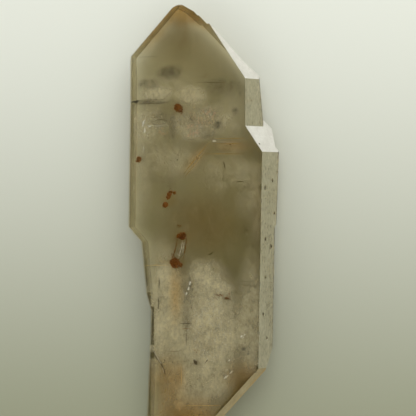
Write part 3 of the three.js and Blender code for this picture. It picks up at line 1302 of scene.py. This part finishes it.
VEIL = Veil(
    milky=(
        Zone(156, 94, 52, 24, 0.50), Zone(191, 96, 48, 30, 0.50), Zone(168, 88, 120, 50, 0.14),
        Zone(146, 122, 56, 64, 0.30), Zone(198, 122, 100, 60, 0.30), Zone(232, 116, 60, 74, 0.18),
        Zone(192, 131, 30, 26, 0.26), Zone(150, 155, 70, 90, 0.16), Zone(178, 160, 70, 60, 0.18),
        Zone(142, 190, 30, 110, 0.12), Zone(228, 172, 90, 60, 0.18), Zone(246, 192, 34, 90, 0.16),
        Zone(232, 146, 64, 22, 0.20), Zone(196, 159, 64, 12, 0.14, 50), Zone(257, 200, 26, 140, 0.20),
        # The milk of these lower zones is partly the real cloud and partly painted light, raised to brighten
        # the lower half.
        Zone(206, 276, 62, 50, 0.38), Zone(206, 326, 76, 160, 0.58), Zone(222, 334, 84, 150, 0.42),
        Zone(221, 288, 36, 22, 0.34), Zone(200, 386, 110, 70, 0.40), Zone(252, 320, 44, 200, 0.44),
        Zone(166, 304, 64, 140, 0.54), Zone(162, 346, 60, 100, 0.30), Zone(160, 264, 50, 80, 0.22),
        Zone(184, 352, 40, 90, 0.30), Zone(174, 300, 30, 120, 0.16), Zone(190, 416, 150, 60, 0.30),
        Zone(170, 386, 70, 80, 0.28), Zone(246, 370, 44, 50, 0.05), Zone(195, 210, 180, 420, 0.06),
    ),
    smoky=(
        Zone(170, 73, 44, 24, 0.24), Zone(148, 85, 36, 20, 0.20), Zone(222, 88, 60, 34, 0.12),
        Zone(150, 102, 46, 7, 0.34), Zone(173, 127, 14, 38, 0.28), Zone(206, 134, 28, 18, 0.24),
        Zone(218, 125, 22, 16, 0.20), Zone(160, 118, 34, 22, 0.16), Zone(188, 121, 28, 20, 0.18),
        Zone(199, 285, 18, 18, 0.26), Zone(218, 322, 28, 26, 0.14), Zone(187, 314, 9, 60, 0.30),
        Zone(212, 302, 26, 20, 0.14), Zone(225, 352, 26, 34, 0.12), Zone(243, 350, 18, 18, 0.18),
        Zone(204, 364, 34, 10, 0.18), Zone(182.6, 364, 4, 30, 0.20),
    ),
    rusty=(
        Zone(184, 14, 60, 36, 0.9), Zone(232, 146, 64, 20, 0.6), Zone(196, 159, 64, 14, 0.6, 50),
        Zone(177, 294, 22, 96, 0.35), Zone(168, 382, 60, 80, 0.45), Zone(190, 420, 150, 80, 0.9),
        Zone(244, 378, 50, 60, 0.6), Zone(180, 374, 14, 40, 0.5), Zone(257, 220, 20, 180, 0.4),
    ),
)

CLOTS = (
    RustClot("rust_upper", 178.4, 108, 9, 8, 57, -35),
    RustClot("rust_left", 138.2, 159.6, 6, 4.5, 26, 45),
    RustClot("rust_trail_top", 169.6, 194.6, 9, 4, 39, 60),
    RustClot("rust_trail_foot", 165.2, 204.6, 7, 4, 28, 30),
    RustClot("rust_trail_dust", 174.5, 192.5, 3, 2.5, 8),
    RustClot("rust_small", 178.6, 226, 5, 2.5, 11, depth=(0.5, 0.9), grain=(0.12, 0.25)),
    RustClot("rust_middle", 181.4, 236, 9.5, 7.5, 57, 15),
    RustClot("rust_big", 174.8, 263, 9.5, 10, 88, 10, grain=(0.2, 0.5)),
    RustClot("rust_big_tail", 180.4, 265, 5, 2.5, 13, 0),
    RustClot("rust_big_neck", 172.6, 255.5, 4, 6, 11, 0, grain=(0.12, 0.22)),
    RustClot("rust_line_spot", 227.6, 298.6, 5, 2.4, 12, -20, grain=(0.14, 0.24)),
    RustClot("rust_line_dots", 219, 295.2, 12, 3, 12, -12, grain=(0.10, 0.18)),
    RustClot("rust_line_tail", 229.5, 293.4, 4, 4, 6, 0, grain=(0.10, 0.16)),
    RustClot("rust_base_dots", 196.5, 350.5, 7, 4, 9, 20, grain=(0.10, 0.18)),
)

LINES = (
    # Painted glints: bright slivers in place of the light that cracks, edges and the tube reflect.
    SliverSet("painted_glint_cracks", Film.GLINT, Slot.VEIL, (
        Sliver(((142.5, 127), (143.3, 123), (144.5, 119.6)), 0.42, 0.5, 30, 0.5),
        Sliver(((147.5, 125), (149.5, 126.6), (151, 125.4)), 0.32, 0.5, 20, 0.5),
        Sliver(((144.6, 127.5), (144.8, 130.6), (144.3, 133)), 0.38, 0.5, 20, 0.4),
        Sliver(((150.5, 125), (158, 126), (166, 124.8), (169, 126.4)), 0.12, 0.6, 0, 0.3),
        Sliver(((143.6, 146), (143.4, 150), (142.8, 153)), 0.16, 0.6, 0, 0.6),
        Sliver(((190.6, 281.4), (190.0, 283.2), (189.4, 285.2)), 0.42, 0.6, 10, 0.5),
        Sliver(((188.9, 286.6), (188.6, 288.4), (188.0, 290.2)), 0.50, 0.6, 10, 0.4),
        Sliver(((187.0, 292.2), (186.4, 293.8), (185.8, 295.4)), 0.40, 0.6, 10, 0.5),
        Sliver(((224.0, 378.6), (225.8, 377.2), (228.4, 375.4)), 0.50, 0.6, 20, 0.6),
        Sliver(((229.6, 373.8), (231.2, 372.2), (232.6, 370.6)), 0.34, 0.6, 20, 0.6),
        Sliver(((240.6, 337), (242.4, 335.4)), 0.50, 0.6, 10, 0.3),
        Sliver(((244, 335.4), (245.2, 334.2)), 0.36, 0.6, 10, 0.3),
        Sliver(((212.4, 141.2), (214.4, 141.0), (216.4, 141.4)), 0.55, 1.0, 0, 0.3),
        Sliver(((216, 141.6), (224, 141.8), (233, 141.6)), 0.06, 0.8, 0, 0.4),
        Sliver(((228.5, 361), (230, 359.6)), 0.30, 0.6, 0, 0.2),
        Sliver(((182.6, 240.5), (181.6, 247), (179.6, 254), (178.6, 259)), 0.16, 0.8, 0, 0.9),
        Sliver(((184.2, 242), (183.2, 248), (182.2, 253)), 0.12, 0.8, 0, 0.9),
        Sliver(((154.4, 352), (158.6, 359), (162, 366), (164, 373.4)), 0.12, 0.75, 0, 0.8),
    )),
    SliverSet("dark_cracks", Film.SMOKE, Slot.IRON, (
        Sliver(((151.9, 349.8), (155.2, 356.4), (158.6, 360.8)), 0.22, 0.6, 0, 0.4),
        Sliver(((158.2, 360.2), (161.6, 365), (164, 370.4), (165.6, 375)), 0.26, 0.6, 0, 0.4),
        Sliver(((156.8, 354.6), (159.6, 360.4), (162.6, 364.6)), 0.13, 0.7, 0, 0.4),
        Sliver(((158.9, 276.5), (159.2, 283.5), (158.6, 290)), 0.28, 1.0, 0, 0.3),
        Sliver(((158.5, 297), (158.2, 304), (158.4, 309.5)), 0.28, 1.0, 0, 0.3),
        Sliver(((135, 100.4), (147, 99.8), (158, 99.6), (168, 98.6)), 0.11, 0.8, 0, 0.2),
        Sliver(((132.6, 104.2), (146, 103.8), (158, 103.2), (168, 102.4)), 0.17, 0.8, 0, 0.2),
        Sliver(((152, 122.4), (158, 119.8), (164, 119.8), (168, 121.4)), 0.12, 0.8, 0, 0.3),
        Sliver(((223, 161.6), (224.6, 165), (224.8, 168.6)), 0.20, 0.8, 0, 0.3),
        Sliver(((236.6, 182.2), (240, 181.6), (244, 182)), 0.20, 0.8, 0, 0.3),
        Sliver(((208.4, 254.6), (210.6, 254), (213, 251.8)), 0.22, 1.0, 0, 0.3),
        Sliver(((180, 323.8), (186, 323.2), (192, 323.6)), 0.24, 0.8, 0, 0.3),
        Sliver(((186, 327), (186.4, 338), (185.6, 350)), 0.12, 1.0, 0, 0.5),
        Sliver(((189.5, 277.6), (190.8, 283), (190.2, 289.4)), 0.22, 0.8, 0, 0.4),
        Sliver(((193.6, 359.6), (195.6, 362.4), (196.4, 364.8)), 0.85, 0.7, 0, 0.2),
        Sliver(((205, 363.4), (206.6, 361), (208, 359.6)), 0.24, 0.7, 0, 0.3),
        Sliver(((237, 284.6), (246, 285.2), (256, 285.4)), 0.12, 0.8, 0, 0.4),
        Sliver(((240, 281.4), (248, 281.6), (257, 281.2)), 0.09, 0.8, 0, 0.4),
        Sliver(((195, 82.6), (206, 82.2), (216, 82.8), (226, 82.4)), 0.12, 0.8, 0, 0.3),
        Sliver(((137, 57.4), (147, 56.8), (158, 57)), 0.10, 0.8, 0, 0.3),
        Sliver(((165, 351), (174, 351.4), (182, 350.8)), 0.08, 0.8, 0, 0.3),
    )),
    SliverSet("rust_lines", Film.RUST, Slot.IRON, (
        Sliver(((177.4, 239), (176, 246), (174.6, 252), (173.4, 257)), 0.22, 0.7, 0, 0.7),
        Sliver(((186.6, 237.4), (185.8, 245), (184.6, 252), (183.4, 259)), 0.16, 0.7, 0, 0.7),
        Sliver(((181.6, 329), (186, 328.6), (191, 329)), 0.10, 0.7, 0, 0.6),
    )),
    SliverSet("golden_lines", Film.GOLD, Slot.VEIL, (
        Sliver(((214, 139), (226, 138.4), (240, 138.2), (245, 138)), 0.16, 1.0, 0, 0.4),
        Sliver(((216, 143.4), (230, 143.8), (243, 143.2)), 0.12, 1.0, 0, 0.5),
        Sliver(((209.6, 142), (200, 153), (190, 165.6), (183, 175)), 0.14, 1.0, 0, 0.4),
        Sliver(((203.6, 154), (196, 163), (189, 171.5), (184.4, 177.4)), 0.12, 1.0, 0, 0.4),
        Sliver(((203.6, 153.9), (218, 153.8), (232, 153.9), (244, 153.6)), 0.16, 1.0, 0, 0.4),
        Sliver(((144.6, 265.6), (156, 265.2), (168.6, 265.4)), 0.12, 0.8, 0, 0.6),
        Sliver(((182.4, 405.7), (196, 405.5), (210, 405.6), (221, 405.4)), 0.13, 1.0, 0, 0.4),
        Sliver(((181.8, 366), (181.2, 376), (181.8, 386)), 0.18, 1.0, 0, 0.6),
    )),
)


def main() -> None:
    """Builds every piece in order."""
    logging.basicConfig(level=logging.INFO, format="%(name)s: %(message)s")
    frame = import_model()
    view = PhotoView()
    view.place()
    surroundings = Surroundings()
    surroundings.floor()
    surroundings.light()
    crystal = Crystal(view)
    crystal.build(frame)
    FrostedFaces(crystal).build(frame)
    VEIL.build(crystal)
    for seed, grown in enumerate((*CLOUDS, *CLOTS, *LINES)):
        grown.build(crystal, seed)
    bpy.context.scene.view_settings.view_transform = "Standard"


if __name__ == "__main__":
    main()
